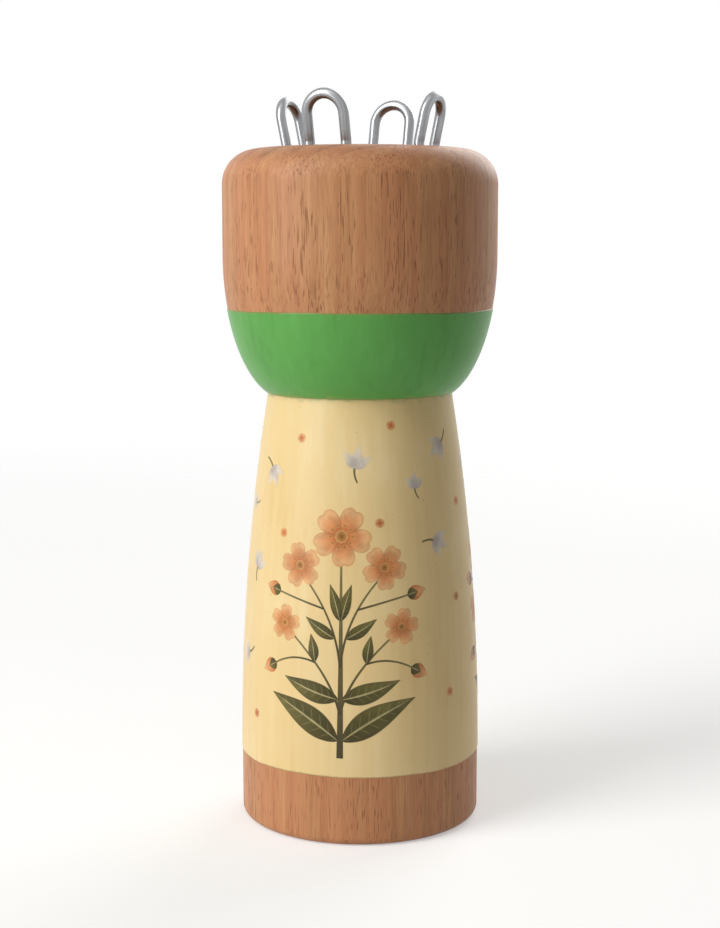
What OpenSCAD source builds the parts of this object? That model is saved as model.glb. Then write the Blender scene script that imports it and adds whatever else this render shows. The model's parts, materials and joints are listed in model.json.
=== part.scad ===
// Knitting nancy: a turned wooden doll for knitting cord.
// A head and a skirt are turned apart and glued on a spigot, one bore runs down through both,
// and wire hooks stand round the mouth of the bore.
// Lengths are in millimetres. The axis is +Z, the foot stands on z = 0 and -Y is the front.

/* [Bore] */
// Diameter of the bore that the knitted cord passes down
bore_d = 15; // [10:0.5:18]
// Width of the bevel round each mouth of the bore
bore_bevel = 1.5; // [0.5:0.1:2.5]

/* [Skirt] */
// Diameter of the foot, the widest part of the skirt
foot_d = 42.4; // [38:0.2:60]
// Height of the bare, straight foot
foot_h = 12; // [6:0.5:30]
// Radius of the rounded edge under the foot
foot_edge_r = 1.5; // [0.5:0.1:4]
// Height of the printed part of the skirt, from the foot to the neck
skirt_h = 64; // [40:1:100]
// Diameter of the neck, where the skirt meets the head
neck_d = 32.2; // [30:0.2:38]

/* [Head] */
// Widest diameter of the head
head_d = 48; // [44:0.5:70]
// Height of the head above the neck
head_h = 42; // [34:0.5:60]
// Height of the rounded underside, from the neck to the widest diameter
cup_h = 24; // [14:0.5:28]
// How far round its ellipse the underside runs before it meets the neck, in degrees
cup_sweep = 72; // [50:1:85]
// How far the rim of the underside stands out past the neck
lip_overhang = 0.3; // [0:0.1:1.5]
// Height of the painted collar above the neck
collar_h = 14.6; // [6:0.2:22]
// Radius of the rounded edge round the top
top_edge_r = 6; // [2:0.5:8]

/* [Glued spigot] */
// Wall of the spigot, between the bore and the socket
spigot_wall = 4.5; // [3:0.5:6]
// Length of the spigot on top of the skirt
spigot_h = 18; // [10:1:24]
// Bevel on the end of the spigot
spigot_bevel = 1; // [0.5:0.1:2]
// Radial clearance between the spigot and its socket
spigot_clearance = 0.1; // [0.05:0.05:0.3]
// Space left for glue above the end of the spigot
glue_gap = 0.4; // [0.1:0.1:1]

/* [Finish] */
// Thickness of the paint on the collar and of the print coat on the skirt
coat_t = 0.12; // [0.05:0.01:0.3]

/* [Wire hooks] */
// Number of hooks round the bore
hook_count = 4; // [3:1:6]
// Diameter of the wire
wire_d = 1.8; // [1.2:0.1:2.4]
// Width of a hook, between the middles of its two legs
hook_w = 6.8; // [5:0.2:9]
// Height of a hook above the head
hook_h = 9.5; // [7:0.5:14]
// Outward lean of a hook, in degrees
hook_lean = 12; // [0:1:20]
// Distance from the bevelled mouth of the bore to the middle of the wire
hook_setback = 3.6; // [2:0.2:5]
// Length of leg driven into the wood, above its point
leg_depth = 9; // [6:0.5:14]
// Length of the cut point on each leg
point_l = 2.5; // [1.5:0.1:4]
// Radial clearance between a leg and its pilot hole
pilot_clearance = 0.03; // [0.01:0.01:0.1]

/* [Hidden] */
WOOD = "#c9946b";
CREAM = "#f7dca8";
GREEN = "#4f9d47";
STEEL = "#b9bcc0";

// Facets round the axis, and steps along each curved stretch of an outline
$fn = 96;
curve_steps = 24;

// Cutting tools run this far past the faces that they open
overcut = 1;
// Width of the flat left on the end of a cut point
point_flat = 0.3;

bore_r = bore_d / 2;
foot_r = foot_d / 2;
neck_r = neck_d / 2;
head_r = head_d / 2;
wire_r = wire_d / 2;
spigot_r = bore_r + spigot_wall;

neck_z = foot_h + skirt_h;
collar_z = neck_z + collar_h;
top_z = neck_z + head_h;

hook_ring_r = bore_r + bore_bevel + hook_setback;
hook_turn = 360 / hook_count;
// A leg bends just clear of the wood, and the wire swells a little in so tight a bend
knee_rise = wire_r;
knee_r = 1.03 * wire_r;
// The straight part of a leaning leg, between its knee and the round crown
hook_leg_l = (hook_h - wire_r - knee_rise) / cos(hook_lean) - hook_w / 2;

// The skirt's side is one arc that leaves the foot upright and leans in to the neck
flare_in = foot_r - neck_r;
flare_r = (skirt_h * skirt_h + flare_in * flare_in) / (2 * flare_in);
flare_sweep = asin(skirt_h / flare_r);

// The head's underside is part of an ellipse that stands upright at the widest diameter
lip_r = neck_r + lip_overhang;
cup_b = cup_h / sin(cup_sweep);
cup_a = (head_r - lip_r) / (1 - cos(cup_sweep));

// Points along an arc about [x, z], from one angle to another
function arc(x, z, r, from, to) = [
    for (i = [0:curve_steps]) let (a = from + (to - from) * i / curve_steps) [x + r * cos(a), z + r * sin(a)]
];

// Points up the underside of the head, from the rim at the neck to the widest diameter
function cup_curve() = [
    for (i = [curve_steps:-1:0]) let (a = cup_sweep * i / curve_steps)
        [head_r - cup_a * (1 - cos(a)), neck_z + cup_h - cup_b * sin(a)]
];

// Outline of the turned skirt with its spigot, from the axis out and up
function skirt_outline() = concat(
    [[0, 0]],
    arc(foot_r - foot_edge_r, foot_edge_r, foot_edge_r, -90, 0),
    arc(foot_r - flare_r, foot_h, flare_r, 0, flare_sweep),
    [
        [spigot_r, neck_z],
        [spigot_r, neck_z + spigot_h - spigot_bevel],
        [spigot_r - spigot_bevel, neck_z + spigot_h],
        [0, neck_z + spigot_h]
    ]
);

// Outline of the turned head, from the axis out and up
function head_outline() = concat(
    [[0, neck_z]],
    cup_curve(),
    arc(head_r - top_edge_r, top_z - top_edge_r, top_edge_r, 0, 90),
    [[0, top_z]]
);

// A solid turned from an outline, and thickened outwards by a coat
module turned(outline, coat = 0) {
    rotate_extrude() polygon([for (p = outline) [p[0] > 0 ? p[0] + coat : 0, p[1]]]);
}

// The part of a turned solid that lies between two heights
module between(low, high) {
    intersection() {
        children();
        translate([0, 0, low]) cylinder(r = head_r + foot_r, h = high - low);
    }
}

// The bore, with a bevel at its mouth under the foot and at its mouth on the head
module bore() {
    translate([0, 0, -overcut]) cylinder(r = bore_r, h = top_z + 2 * overcut);
    for (end = [0, 1]) translate([0, 0, end * top_z]) mirror([0, 0, end]) {
        translate([0, 0, -overcut])
            cylinder(r1 = bore_r + bore_bevel + overcut, r2 = bore_r, h = bore_bevel + overcut);
    }
}

// Moves its children to the seat of one hook on the head, with +Y facing outwards
module at_hook(i) {
    rotate([0, 0, 180 + (i - 1) * hook_turn]) translate([0, hook_ring_r, top_z]) children();
}

// The two upright legs of a hook up to a height above the wood, widened by a clearance
module legs(rise = 0, clearance = 0) {
    for (side = [-1, 1]) translate([side * hook_w / 2, 0, -leg_depth]) {
        cylinder(r = wire_r + clearance, h = leg_depth + rise);
        translate([0, 0, -point_l])
            cylinder(r1 = point_flat / 2 + clearance, r2 = wire_r + clearance, h = point_l);
    }
}

// The two knees, the leaning legs above them and the round crown that joins the legs
module crown() {
    for (side = [-1, 1]) translate([side * hook_w / 2, 0, 0]) sphere(r = knee_r);
    rotate([-hook_lean, 0, 0]) {
        for (side = [-1, 1]) translate([side * hook_w / 2, 0, 0]) cylinder(r = wire_r, h = hook_leg_l);
        translate([0, 0, hook_leg_l]) rotate([90, 0, 0])
            rotate_extrude(angle = 180) translate([hook_w / 2, 0]) circle(r = wire_r);
    }
}

// Skirt: printed side and bare foot, with the spigot on top and the bore through it
module skirt() {
    difference() {
        union() {
            color(WOOD) turned(skirt_outline());
            color(CREAM) between(foot_h, neck_z) turned(skirt_outline(), coat_t);
        }
        bore();
    }
}

// Head: bare top and painted collar, with the socket, the bore and the pilot holes
module head() {
    difference() {
        union() {
            color(WOOD) turned(head_outline());
            color(GREEN) between(neck_z, collar_z) turned(head_outline(), coat_t);
        }
        bore();
        translate([0, 0, neck_z - overcut])
            cylinder(r = spigot_r + spigot_clearance, h = spigot_h + glue_gap + overcut);
        for (i = [1:hook_count]) at_hook(i) legs(overcut, pilot_clearance);
    }
}

// Hook: one length of wire bent into a staple, leaning away from the bore
module hook(i) {
    color(STEEL) at_hook(i) {
        legs(knee_rise);
        translate([0, 0, knee_rise]) crown();
    }
}

skirt();
head();
for (i = [1:hook_count]) hook(i);
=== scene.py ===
# %% [markdown]
# A knitting nancy is a turned wooden doll with a bore down its middle and a ring of wire hooks on its
# head. Yarn is wound round the hooks, and the knitted cord grows down through the bore and out under the
# foot. The frame holds the doll's two turnings and its hooks as plain solids at their real size. This
# script gives them their looks: bare wood, green paint on the collar, a cream printed skirt, and bright
# bent wire.

# %% Load the frame
import json
import math

import bpy
import numpy as np
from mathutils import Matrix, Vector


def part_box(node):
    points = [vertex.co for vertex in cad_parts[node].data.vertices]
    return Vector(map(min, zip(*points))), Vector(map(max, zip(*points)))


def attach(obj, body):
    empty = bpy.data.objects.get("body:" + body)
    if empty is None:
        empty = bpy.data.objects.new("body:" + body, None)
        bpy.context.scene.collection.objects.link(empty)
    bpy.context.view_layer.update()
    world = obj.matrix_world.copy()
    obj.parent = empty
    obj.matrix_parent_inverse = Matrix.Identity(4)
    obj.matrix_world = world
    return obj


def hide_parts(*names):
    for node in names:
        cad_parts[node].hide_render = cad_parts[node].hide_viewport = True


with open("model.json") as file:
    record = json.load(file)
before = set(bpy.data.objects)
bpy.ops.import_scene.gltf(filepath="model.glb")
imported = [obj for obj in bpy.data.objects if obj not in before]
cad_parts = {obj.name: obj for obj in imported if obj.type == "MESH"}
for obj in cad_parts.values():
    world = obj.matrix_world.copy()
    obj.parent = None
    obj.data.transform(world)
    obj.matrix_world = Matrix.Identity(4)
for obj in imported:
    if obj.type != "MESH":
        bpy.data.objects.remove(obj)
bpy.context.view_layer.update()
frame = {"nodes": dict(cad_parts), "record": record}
print("CAD nodes:", ", ".join(frame["nodes"]))

# %% [markdown]
# Every size is in millimetres, because that is how a turner would write it down. All of them could be
# typed in, but what the frame can tell is read from it: how high the neck and the top are, how wide the
# head and the foot are, and the radius of the bore. So the looks stay on the solids if those change. The
# rest are the turner's own numbers, the same ones that the solids were made with. The last letter of a
# size says what it is: a radius r, a width w, a height h, a length l, a thickness t, or a place z along
# the axis.

# %% Sizes of the doll
MM = 0.001


def node_box(name):
    """Lowest and highest corner of a CAD node, in millimetres."""
    return [np.array(corner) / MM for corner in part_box(name)]


coat_t = 0.12
head_low, head_high = node_box("head")
skirt_high = node_box("skirt")[1]
neck_z, top_z = head_low[2], head_high[2]
head_r = head_high[0]
foot_r = skirt_high[0] - coat_t
spigot_top = skirt_high[2]
bore_r = next(mount["dims"]["r_mm"] for mount in frame["record"]["mounts"] if mount["name"] == "bore")

foot_h = 12.0
neck_r = 16.1
print(f"head {2 * head_r:.1f} mm and foot {2 * foot_r:.1f} mm across, {top_z:.1f} mm of wood")

# %% [markdown]
# A mesh is only arrays: where the points are, and which points each face joins. Faces could be listed one
# by one, but every piece here is a grid of points in rows and columns, so the corners of all its faces
# are the same sum for the whole grid. A grid that goes right round joins its last column to its first.

# %% Join a grid of points with faces
def quads(rows, cols, wrap_rows=False, wrap_cols=False):
    """Faces of a grid of points: each joins a point, the next in its row, and the two above them."""
    row_count = rows if wrap_rows else rows - 1
    col_count = cols if wrap_cols else cols - 1
    i, j = np.meshgrid(np.arange(row_count), np.arange(col_count), indexing="ij")
    up, along = (i + 1) % rows, (j + 1) % cols
    corners = [i * cols + j, i * cols + along, up * cols + along, up * cols + j]
    return np.stack(corners, axis=-1).reshape(-1, 4)


def copies(faces, count, points_each):
    """The same faces for several copies of a grid whose points follow one another."""
    return (faces[None] + points_each * np.arange(count)[:, None, None]).reshape(-1, faces.shape[1])


print("a grid of 3 by 3 points has", len(quads(3, 3)), "faces")

# %% [markdown]
# Blender's own tools build meshes too, but numpy works out a whole grid of points in one go, and
# foreach_set hands it over without a loop. Edges that are bent by more than the crease angle stay sharp,
# and the rest are shaded smooth. Each piece also rides on the root body.

# %% Put arrays into a mesh
CREASE = math.radians(38)


def make_piece(name, points, faces, material, slot, caps=(), **attributes):
    """Makes a piece from points in millimetres, four-cornered faces, and caps with more corners.

    Each further name holds numbers for the points, which a finish can read.
    """
    mesh = bpy.data.meshes.new(name)
    points = np.asarray(points, dtype=float).reshape(-1, 3)
    corners = np.concatenate([faces.ravel(), *[np.asarray(cap) for cap in caps]])
    sizes = np.concatenate([np.full(len(faces), 4), [len(cap) for cap in caps]]).astype(int)
    mesh.vertices.add(len(points))
    mesh.vertices.foreach_set("co", (points * MM).ravel())
    mesh.loops.add(len(corners))
    mesh.loops.foreach_set("vertex_index", corners)
    mesh.polygons.add(len(sizes))
    mesh.polygons.foreach_set("loop_start", np.cumsum(sizes) - sizes)
    for label, values in attributes.items():
        values = np.asarray(values, dtype=float)
        kind, field = ("FLOAT_VECTOR", "vector") if values.size == points.size else ("FLOAT", "value")
        mesh.attributes.new(label, kind, "POINT").data.foreach_set(field, values.ravel())
    mesh.update(calc_edges=True)
    mesh.shade_smooth()
    mesh.set_sharp_from_angle(angle=CREASE)
    mesh.materials.append(material)
    piece = bpy.data.objects.new(name, mesh)
    bpy.context.scene.collection.objects.link(piece)
    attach(piece, "root")
    print(f"{name}: {len(points)} points, {len(sizes)} faces")
    return piece


print(f"edges bent by more than {math.degrees(CREASE):.0f} degrees stay sharp")

# %% [markdown]
# A lathe turns an outline round an axis, so a turned piece is a surface of two parameters: how far along
# the outline, and how far round. Blender's Screw modifier would turn an outline as well. Here the turning
# is one formula, because the paint and the print have to follow the same outline a hair's breadth further
# out.

# %% Turn outlines round the axis
SIDES = 256
round_angle = np.linspace(0, 2 * math.pi, SIDES, endpoint=False)


def arc(centre, radius, start, stop, steps):
    """Points on a circle about a centre, between two angles in degrees from the outward direction."""
    a = np.radians(np.linspace(start, stop, steps + 1))
    return np.stack([centre[0] + radius * np.cos(a), centre[1] + radius * np.sin(a)], axis=-1)


def turn(radius, height, angle):
    """Points at a radius and a height, turned by an angle that is 0 at the front and grows towards +X."""
    radius, height, angle = np.broadcast_arrays(radius, height, angle)
    return np.stack([radius * np.sin(angle), -radius * np.cos(angle), height], axis=-1)


def turned_piece(name, outline, material, slot):
    """A closed outline of radius and height, carried once round the axis."""
    points = turn(outline[:, :1], outline[:, 1:], round_angle[None])
    return make_piece(name, points, quads(len(outline), SIDES, True, True), material, slot)


print(f"the lathe leaves {SIDES} sides, {2 * math.pi * head_r / SIDES:.2f} mm wide on the head")

# %% [markdown]
# Materials are graphs of nodes. They can be drawn by hand in the Shader Editor, but written down they can
# be read from top to bottom. A few short helpers keep that readable: put adds a node and fills its
# sockets, and read gets a number that a piece carries on its points.

# %% Place nodes
def fill(tree, socket, value):
    """Links a socket to another one, or sets it to a plain value."""
    if isinstance(value, bpy.types.NodeSocket):
        tree.links.new(value, socket)
    else:
        socket.default_value = value


def put(tree, kind, inputs=None, **settings):
    """Adds a node, with its settings and its inputs."""
    node = tree.nodes.new(kind)
    for name, value in settings.items():
        setattr(node, name, value)
    for key, value in (inputs or {}).items():
        fill(tree, node.inputs[key], value)
    return node


def read(tree, label):
    """A number stored on the points of a piece."""
    return put(tree, "ShaderNodeAttribute", attribute_name=label).outputs["Fac"]


print("nodes can be placed")

# %% [markdown]
# Sums are nodes too. One kind of node works with numbers, and another with places, which are three
# numbers at once. They could be added one by one where they are needed, but a short name for each keeps
# the finishes readable. A number that is linked to a place counts for all three of its numbers.

# %% Sums of numbers and places
def calc(tree, operation, *values):
    """One step of arithmetic with numbers."""
    return put(tree, "ShaderNodeMath", dict(enumerate(values)), operation=operation).outputs[0]


def combine(tree, operation, *places):
    """One step of arithmetic with places."""
    return put(tree, "ShaderNodeVectorMath", dict(enumerate(places)), operation=operation).outputs[0]


def stretch(tree, place, scale):
    """A place multiplied by a scale for each axis."""
    return combine(tree, "MULTIPLY", place, scale)


def how_far(tree, place):
    """The distance of a place from the origin."""
    return put(tree, "ShaderNodeVectorMath", {0: place}, operation="LENGTH").outputs["Value"]


def split(tree, place):
    """The X, Y and Z of a place."""
    return put(tree, "ShaderNodeSeparateXYZ", {0: place}).outputs


print("sums: calc for numbers, and combine, stretch, how_far and split for places")

# %% [markdown]
# Nearly every natural pattern here is a cloudy noise that is stretched and cut off softly. An image could
# give such patterns too, but noise has no seam, no edge and no resolution.

# %% Patterns
def noise(tree, place, scale, detail=2.0, roughness=0.5, output="Fac"):
    """Cloudy noise between 0 and 1, with about scale lumps in a millimetre along each axis."""
    inputs = {"Vector": stretch(tree, place, scale), "Scale": 1.0, "Detail": detail, "Roughness": roughness}
    return put(tree, "ShaderNodeTexNoise", inputs).outputs[output]


def step(tree, value, low, high, start=0.0, end=1.0):
    """A soft step from start to end, while a value goes from low to high."""
    inputs = {"Value": value, "From Min": low, "From Max": high, "To Min": start, "To Max": end}
    return put(tree, "ShaderNodeMapRange", inputs, interpolation_type="SMOOTHSTEP").outputs[0]


print("patterns: noise and step")

# %% [markdown]
# Colours are written as on a paint chart, from 0 to 255, because that is how they are read off a real
# thing. The shader works with the light itself, so srgb turns them into linear values. Those could be
# written down instead, but they say little to the eye.

# %% Colours
def mix(tree, factor, first, second, blend_type="MIX"):
    """Two colours blended by a factor."""
    node = put(tree, "ShaderNodeMix", data_type="RGBA", blend_type=blend_type)
    for index, value in ((0, factor), (6, first), (7, second)):
        fill(tree, node.inputs[index], value)
    return node.outputs[2]


def srgb(red, green, blue):
    """A colour as a paint chart gives it, from 0 to 255, as the linear values that the shader wants."""
    c = np.array([red, green, blue]) / 255
    linear = np.where(c > 0.04045, ((c + 0.055) / 1.055) ** 2.4, c / 12.92)
    return (*linear.tolist(), 1.0)


def ramp(tree, value, *stops):
    """A colour ramp. Each stop is a place between 0 and 1, and a colour from the paint chart."""
    node = put(tree, "ShaderNodeValToRGB", {0: value})
    elements = node.color_ramp.elements
    while len(elements) < len(stops):
        elements.new(1.0)
    for element, (position, colour) in zip(elements, stops):
        element.position = position
        element.color = srgb(*colour)
    return node.outputs[0]


print("a cream of 245, 216, 162 is", [round(value, 3) for value in srgb(245, 216, 162)[:3]], "as light")

# %% [markdown]
# A pattern that several finishes share is a node group: it is built once and placed in each of them. It
# could be built again for each finish, but then every change would have to be made in all of them. Every
# finish starts from Object coordinates turned into millimetres, so that its pattern sits still on the
# piece.

# %% Groups and finishes
def new_group(name, inputs, outputs):
    """An empty node group, with its input and output nodes."""
    tree = bpy.data.node_groups.new(name, "ShaderNodeTree")
    for sockets, way in ((inputs, "INPUT"), (outputs, "OUTPUT")):
        for label, kind in sockets.items():
            tree.interface.new_socket(label, in_out=way, socket_type="NodeSocket" + kind)
    return tree, tree.nodes.new("NodeGroupInput").outputs, tree.nodes.new("NodeGroupOutput").inputs


def use(tree, group, inputs):
    """Places a node group and gives its outputs."""
    return put(tree, "ShaderNodeGroup", inputs, node_tree=group).outputs


def new_finish(name):
    """A new material: its node tree, its shader, and the place on the piece in millimetres."""
    material = bpy.data.materials.new(name)
    material.use_nodes = True
    tree = material.node_tree
    place = stretch(tree, put(tree, "ShaderNodeTexCoord").outputs["Object"], (1 / MM,) * 3)
    return material, tree, tree.nodes["Principled BSDF"], place


def raise_surface(tree, shader, height, depth):
    """Turns a height into bumps of a depth in millimetres, and gives them to the shader."""
    bump = put(tree, "ShaderNodeBump", {"Strength": 1.0, "Distance": depth * MM, "Height": height})
    fill(tree, shader.inputs["Normal"], bump.outputs[0])


print("groups and finishes can be built")

# %% [markdown]
# Wood has a figure all through it, so its pattern is a solid one and not a wrapping. Its base is the
# growth rings, which run round a pith that lies outside the blank and leans a little. Blender's Wave
# Texture draws rings as well, but they are even on both sides. Real ones darken slowly and end at once,
# so here they are a saw of the distance from the pith.

# %% Growth rings
ring_w = 3.85
axis_from_pith = (30.0, -19.0, 0.0)
pith_wander = (7.0, 7.0, 0.0)
pith_lean_x, pith_lean_y = 0.07, -0.05


def growth_rings(tree, place):
    """Late wood: a saw of the distance from a leaning pith, darkest just before it drops."""
    wander = noise(tree, place, (0.05, 0.05, 0.012), output="Color")
    drift = combine(tree, "MULTIPLY_ADD", wander, pith_wander, axis_from_pith)
    from_pith = split(tree, combine(tree, "ADD", place, drift))
    across = calc(tree, "MULTIPLY_ADD", from_pith["Z"], pith_lean_x, from_pith["X"])
    beside = calc(tree, "MULTIPLY_ADD", from_pith["Z"], pith_lean_y, from_pith["Y"])
    squared = calc(tree, "MULTIPLY_ADD", across, across, calc(tree, "MULTIPLY", beside, beside))
    ring = calc(tree, "FRACT", calc(tree, "DIVIDE", calc(tree, "SQRT", squared), ring_w))
    return calc(tree, "MULTIPLY", calc(tree, "POWER", ring, 3.0), step(tree, ring, 0.88, 1.0, 1.0, 0.0))


print(f"growth rings are {ring_w} mm wide")

# %% [markdown]
# Fibres draw everything out along the grain, which is +Z, and short dark flecks lie among them. All of
# this goes into one group, because the bare wood needs it and the paint lets a little of it through. On
# the sides it gives fine upright streaks, and where the top cuts across it, rings and dots.

# %% Wood figure
def build_wood_figure():
    """Light and dark of the wood, its rings and flecks, and the height of its fibres, at a place."""
    tree, given, result = new_group(
        "wood_figure", {"Place": "Vector"},
        {"Tone": "Float", "Rings": "Float", "Flecks": "Float", "Height": "Float"})
    place = given["Place"]
    late = growth_rings(tree, place)
    streaks = noise(tree, place, (0.8, 0.8, 0.018), detail=4.0, roughness=0.6)
    fibres = noise(tree, place, (5.5, 5.5, 0.12))
    tone = calc(tree, "MULTIPLY_ADD", streaks, 0.62, calc(tree, "MULTIPLY", fibres, 0.38))
    pores = step(tree, noise(tree, place, (4.4, 4.4, 0.27), detail=0.0), 0.62, 0.76)
    rays = step(tree, noise(tree, place, (2.8, 2.8, 0.42), detail=0.0), 0.68, 0.80)
    patches = step(tree, noise(tree, place, (0.22, 0.22, 0.04)), 0.34, 0.62, 0.3, 1.0)
    flecks = calc(tree, "MULTIPLY", calc(tree, "MAXIMUM", pores, rays), patches)
    fill(tree, result["Tone"], calc(tree, "MULTIPLY_ADD", late, -0.09, tone))
    fill(tree, result["Rings"], late)
    fill(tree, result["Flecks"], flecks)
    fill(tree, result["Height"], calc(tree, "SUBTRACT", calc(tree, "MULTIPLY", fibres, 0.4), flecks))
    return tree


wood_figure = build_wood_figure()
print("wood figure:", len(wood_figure.nodes), "nodes")

# %% [markdown]
# The bare head and foot are pale hardwood, sanded on the lathe and sealed with a thin matt coat. They
# come from two blanks, so the figure below the neck is moved aside and doesn't run on from the head.
# Where the surface faces up or down it cuts the fibres across. That end grain soaks up more of the sealer
# and shows the growth rings, so a mask on the normal darkens it. The bore is drilled and never sanded, so
# it is rougher and keeps the rings that the bit left, and its colour is darkened as painted shade inside
# the hole. It could be a piece of its own, but a mask on the distance from the axis finds it within one
# finish.

# %% Bare wood
second_blank = (40.0, 25.0, 0.0)
wood_shades = [(0.30, (170, 111, 70)), (0.45, (194, 136, 91)),
               (0.57, (206, 150, 102)), (0.70, (220, 167, 118))]
warm_streak = srgb(204, 133, 93)
fleck_brown = srgb(122, 72, 43)
soaked_end = srgb(136, 84, 52)
painted_bore_shade = srgb(112, 70, 44)


def place_in_blank(tree, place):
    """The place in the blank that a turning was cut from: below the neck it is another blank."""
    below = calc(tree, "LESS_THAN", split(tree, place)["Z"], neck_z)
    return combine(tree, "ADD", place, stretch(tree, below, second_blank))


def build_bare_wood():
    """Sealed hardwood, darker on the end grain, with painted shade and bit marks in the bore."""
    material, tree, shader, place = new_finish("bare_wood")
    blank = place_in_blank(tree, place)
    figure = use(tree, wood_figure, {"Place": blank})
    colour = ramp(tree, figure["Tone"], *wood_shades)
    warm = step(tree, noise(tree, blank, (0.28, 0.28, 0.02)), 0.35, 0.65, 0.0, 0.4)
    colour = mix(tree, warm, colour, warm_streak)
    colour = mix(tree, calc(tree, "MULTIPLY", figure["Flecks"], 0.55), colour, fleck_brown)
    normal = put(tree, "ShaderNodeNewGeometry").outputs["Normal"]
    upward = calc(tree, "ABSOLUTE", split(tree, normal)["Z"])
    soak = calc(tree, "MULTIPLY_ADD", figure["Rings"], 0.6, 0.22)
    end_grain = calc(tree, "MULTIPLY", step(tree, upward, 0.45, 0.95), soak)
    colour = mix(tree, end_grain, colour, soaked_end)
    from_axis = how_far(tree, stretch(tree, place, (1, 1, 0)))
    drilled = step(tree, from_axis, bore_r + 0.1, bore_r + 0.5, 1.0, 0.0)
    # Painted shade: the colour is darkened inside the bore
    colour = mix(tree, calc(tree, "MULTIPLY", drilled, 0.6), colour, painted_bore_shade)
    fill(tree, shader.inputs["Base Color"], colour)
    roughness = calc(tree, "MULTIPLY_ADD", figure["Flecks"], 0.2, 0.44)
    fill(tree, shader.inputs["Roughness"], calc(tree, "MULTIPLY_ADD", drilled, 0.3, roughness))
    shader.inputs["Specular IOR Level"].default_value = 0.35
    bit_marks = calc(tree, "MULTIPLY", drilled, noise(tree, place, (0.15, 0.15, 2.2), detail=1.0))
    raise_surface(tree, shader, calc(tree, "MULTIPLY_ADD", bit_marks, 3.0, figure["Height"]), 0.03)
    return material


bare_wood = build_bare_wood()
print("finish:", bare_wood.name)

# %% [markdown]
# The head is one turning. Going up on the outside and down on the inside, its outline closes on itself,
# and so does the solid: it starts under the neck, rolls out over the cup-shaped underside, goes up the
# straight side, rounds over the top and drops down the bore and the socket that takes the skirt's spigot.
# The CAD solid has the same shape and could stay. It is turned again so that the rim of the bore can be
# eased, as a turner does with a scrap of sandpaper.

# %% Turn the head
cup_h = 24.0
cup_sweep = math.radians(72)
lip_r = neck_r + 0.3
top_edge_r = 6.0
bore_bevel = 1.5
bore_ease = 0.4
spigot_r = 12.0
socket_r = spigot_r + 0.1
socket_top = spigot_top + 0.4


def cup_radius(height):
    """Radius of the head at a height: straight above, and part of an ellipse down to the neck."""
    deep = cup_h / math.sin(cup_sweep)
    wide = (head_r - lip_r) / (1 - math.cos(cup_sweep))
    drop = np.clip(neck_z + cup_h - np.asarray(height, dtype=float), 0, None) / deep
    return head_r - wide * (1 - np.sqrt(1 - drop**2))


cup_heights = np.linspace(neck_z, neck_z + cup_h, 49)
eased_r = bore_r + bore_bevel + bore_ease
head_outline = np.vstack([
    [[socket_r, neck_z]],
    np.stack([cup_radius(cup_heights), cup_heights], axis=-1),
    arc((head_r - top_edge_r, top_z - top_edge_r), top_edge_r, 0, 90, 32),
    arc((eased_r, top_z - bore_ease), bore_ease, 90, 135, 6),
    [[bore_r, top_z - bore_bevel], [bore_r, socket_top], [socket_r, socket_top]],
])
head_wood = turned_piece("head_wood", head_outline, bare_wood, "bare_wood")
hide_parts("head")

# %% [markdown]
# The skirt is the other turning: a bare straight foot with a rounded edge, the long side that leans in to
# the neck, and the spigot that is glued into the head. Its side is one long arc, so a single formula
# gives the radius at any height, and the coat and the print use it again.

# %% Turn the skirt
foot_edge_r = 1.5
spigot_bevel = 1.0


def skirt_radius(rise):
    """Radius of the skirt at a rise above the foot: one arc that starts upright and leans in."""
    tall, inset = neck_z - foot_h, foot_r - neck_r
    bend = (tall**2 + inset**2) / (2 * inset)
    return foot_r - bend + np.sqrt(bend**2 - np.asarray(rise, dtype=float) ** 2)


rises = np.linspace(0, neck_z - foot_h, 49)
skirt_outline = np.vstack([
    arc((eased_r, bore_ease), bore_ease, 225, 270, 6),
    arc((foot_r - foot_edge_r, foot_edge_r), foot_edge_r, -90, 0, 16),
    np.stack([skirt_radius(rises), foot_h + rises], axis=-1),
    [[spigot_r, neck_z], [spigot_r, spigot_top - spigot_bevel], [spigot_r - spigot_bevel, spigot_top]],
    [[bore_r, spigot_top], [bore_r, bore_bevel]],
])
skirt_wood = turned_piece("skirt_wood", skirt_outline, bare_wood, "bare_wood")
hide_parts("skirt")

# %% [markdown]
# Paint on a turned toy is sprayed on while the piece spins, up to a masked edge. A mask in the wood's
# finish could colour it, but paint has a real thickness that catches the light along that edge. So each
# coat is a thin shell over the wood: it follows the outline a tenth of a millimetre out and has a slight
# bead behind the edge, which wavers by about a tenth of a millimetre on its way round, as masking tape
# does.

# %% Shape of a coat
coat_sink = 0.2
edge_rise = 0.25
bead_share, bead_at, bead_w = 0.15, 0.35, 0.2
edge_reach = 5.0


def waver(size):
    """How far a paint edge strays round the doll: three slow waves added up."""
    waves = np.sin(3 * round_angle + 1.0) + 0.6 * np.sin(7 * round_angle + 2.2)
    return size * (waves + 0.4 * np.sin(16 * round_angle + 0.5))


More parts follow.
